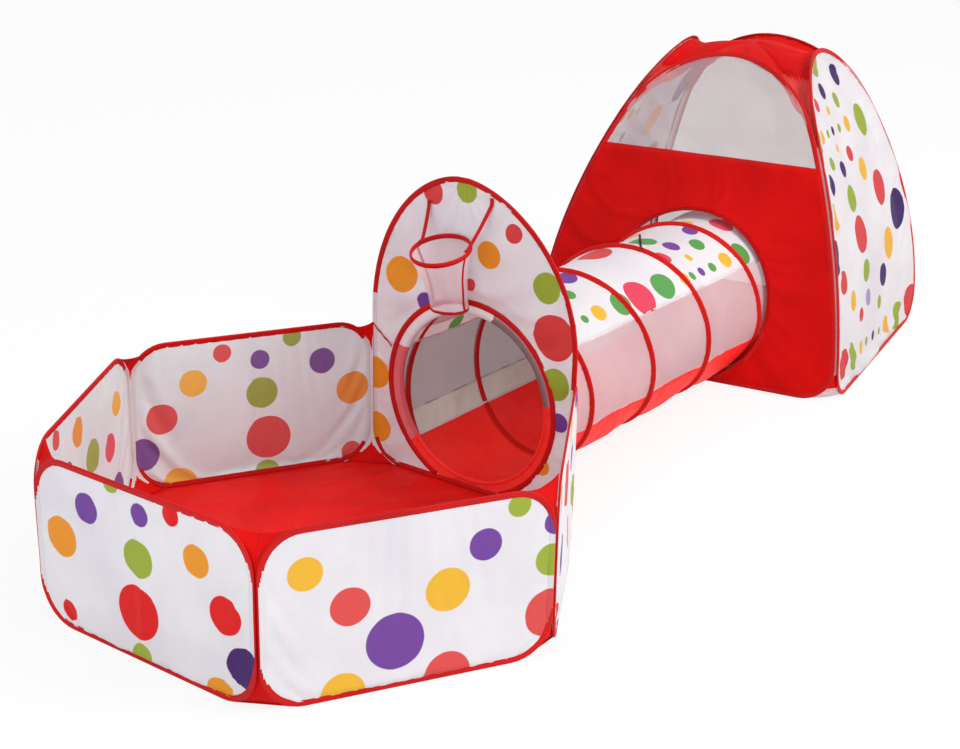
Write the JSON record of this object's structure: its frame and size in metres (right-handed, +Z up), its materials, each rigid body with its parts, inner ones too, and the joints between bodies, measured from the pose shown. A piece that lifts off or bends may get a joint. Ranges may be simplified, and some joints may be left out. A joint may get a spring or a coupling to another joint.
{
  "type": "play tent with tunnel",
  "caption": "Pop-up play set: a six-sided ball pit with a ball hoop on its tall wall, a coil crawl tunnel and a spring-loop play tent, in dotted cloth with sheer mesh.",
  "frame": {"origin": "centre of the bounding box on the ground", "axes": "+X along the tunnel from the ball pit to the tent, +Z up"},
  "size_m": [3.044, 1.21, 0.912],
  "materials": {
    "red_cloth": "smooth woven nylon",
    "white_cloth": "smooth woven nylon, printed with coloured dots",
    "pale_mesh": "fine sheer mesh",
    "green_mesh": "fine sheer mesh",
    "spring_steel": "satin round wire"
  },
  "bodies": {
    "pit": {"hoop_wall_fabric": "white_cloth", "hoop_wall_port_binding": "red_cloth", "hoop_wall_sleeve": "red_cloth", "hoop_wall_wire": "spring_steel", "pit_floor": "red_cloth", "corner_web_1": "red_cloth", "corner_web_6": "red_cloth", "hoop_strap_left": "red_cloth", "hoop_strap_right": "red_cloth", "tunnel_near_ring_sleeve": "red_cloth", "tunnel_near_ring_wire": "spring_steel", "tunnel_coil_sleeve": "red_cloth", "tunnel_coil_wire": "spring_steel", "tunnel_cover": "white_cloth", "tunnel_floor": "red_cloth", "tunnel_mesh_left": "pale_mesh", "tunnel_mesh_right": "pale_mesh"},
    "wall_1": {"wall_1_fabric": "white_cloth", "wall_1_sleeve": "red_cloth", "wall_1_wire": "spring_steel", "corner_web_2": "red_cloth"},
    "wall_2": {"wall_2_fabric": "white_cloth", "wall_2_sleeve": "red_cloth", "wall_2_wire": "spring_steel", "corner_web_3": "red_cloth"},
    "wall_3": {"wall_3_fabric": "white_cloth", "wall_3_sleeve": "red_cloth", "wall_3_wire": "spring_steel", "corner_web_4": "red_cloth"},
    "wall_4": {"wall_4_fabric": "white_cloth", "wall_4_sleeve": "red_cloth", "wall_4_wire": "spring_steel"},
    "wall_5": {"wall_5_fabric": "white_cloth", "wall_5_sleeve": "red_cloth", "wall_5_wire": "spring_steel", "corner_web_5": "red_cloth"},
    "hoop": {"hoop_sleeve": "red_cloth", "hoop_wire": "spring_steel", "hoop_net": "pale_mesh"},
    "tunnel_end": {"tunnel_far_ring_sleeve": "red_cloth", "tunnel_far_ring_wire": "spring_steel"},
    "tent": {"tent_back_fabric": "green_mesh", "tent_back_sleeve": "red_cloth", "tent_back_wire": "spring_steel", "tent_left_fabric": "white_cloth", "tent_left_sleeve": "red_cloth", "tent_left_wire": "spring_steel", "tent_right_fabric": "white_cloth", "tent_right_sleeve": "red_cloth", "tent_right_wire": "spring_steel", "tent_front_cloth": "red_cloth", "tent_front_window": "pale_mesh", "tent_front_sleeve": "red_cloth", "tent_front_wire": "spring_steel", "tent_floor": "red_cloth", "tent_port_binding": "red_cloth", "tent_roof": "red_cloth"}
  },
  "joints": [
    {"name": "pit_fold", "type": "hinge", "parent": "pit", "child": "wall_1", "pos_m": [-0.47634, 0.3, 0], "axis": [0, 0, -1], "range_deg": [0, 50], "deforming": ["pit_floor", "corner_web_1", "corner_web_2", "corner_web_3", "corner_web_4", "corner_web_5", "corner_web_6"]},
    {"name": "wall_2_fold", "type": "hinge", "parent": "wall_1", "child": "wall_2", "pos_m": [-0.99595, 0.6, 0], "axis": [0, 0, -1], "range_deg": [-100, 0]},
    {"name": "wall_3_fold", "type": "hinge", "parent": "wall_2", "child": "wall_3", "pos_m": [-1.51557, 0.3, 0], "axis": [0, 0, -1], "range_deg": [0, 50]},
    {"name": "wall_5_fold", "type": "hinge", "parent": "pit", "child": "wall_5", "pos_m": [-0.47634, -0.3, 0], "axis": [0, 0, -1], "range_deg": [-50, 0]},
    {"name": "wall_4_fold", "type": "hinge", "parent": "wall_5", "child": "wall_4", "pos_m": [-0.99595, -0.6, 0], "axis": [0, 0, -1], "range_deg": [0, 100]},
    {"name": "hoop_fold", "type": "hinge", "parent": "pit", "child": "hoop", "pos_m": [-0.48034, 0.032, 0.632], "axis": [0, 1, 0], "range_deg": [0, 80], "deforming": ["hoop_net", "hoop_strap_left", "hoop_strap_right"]},
    {"name": "tunnel_fold", "type": "slide", "parent": "pit", "child": "tunnel_end", "axis": [-1, 0, 0], "range_m": [0, 0.934], "deforming": ["tunnel_coil_sleeve", "tunnel_coil_wire", "tunnel_cover", "tunnel_floor", "tunnel_mesh_left", "tunnel_mesh_right"]},
    {"name": "tent_pull_off", "type": "slide", "parent": "pit", "child": "tent", "axis": [1, 0, 0], "range_m": [0, 0.35]}
  ],
  "couplings": [
    {"joint": "wall_2_fold", "follows": "pit_fold", "ratio": -2},
    {"joint": "wall_3_fold", "follows": "pit_fold", "ratio": 1},
    {"joint": "wall_5_fold", "follows": "pit_fold", "ratio": -1},
    {"joint": "wall_4_fold", "follows": "pit_fold", "ratio": 2}
  ]
}
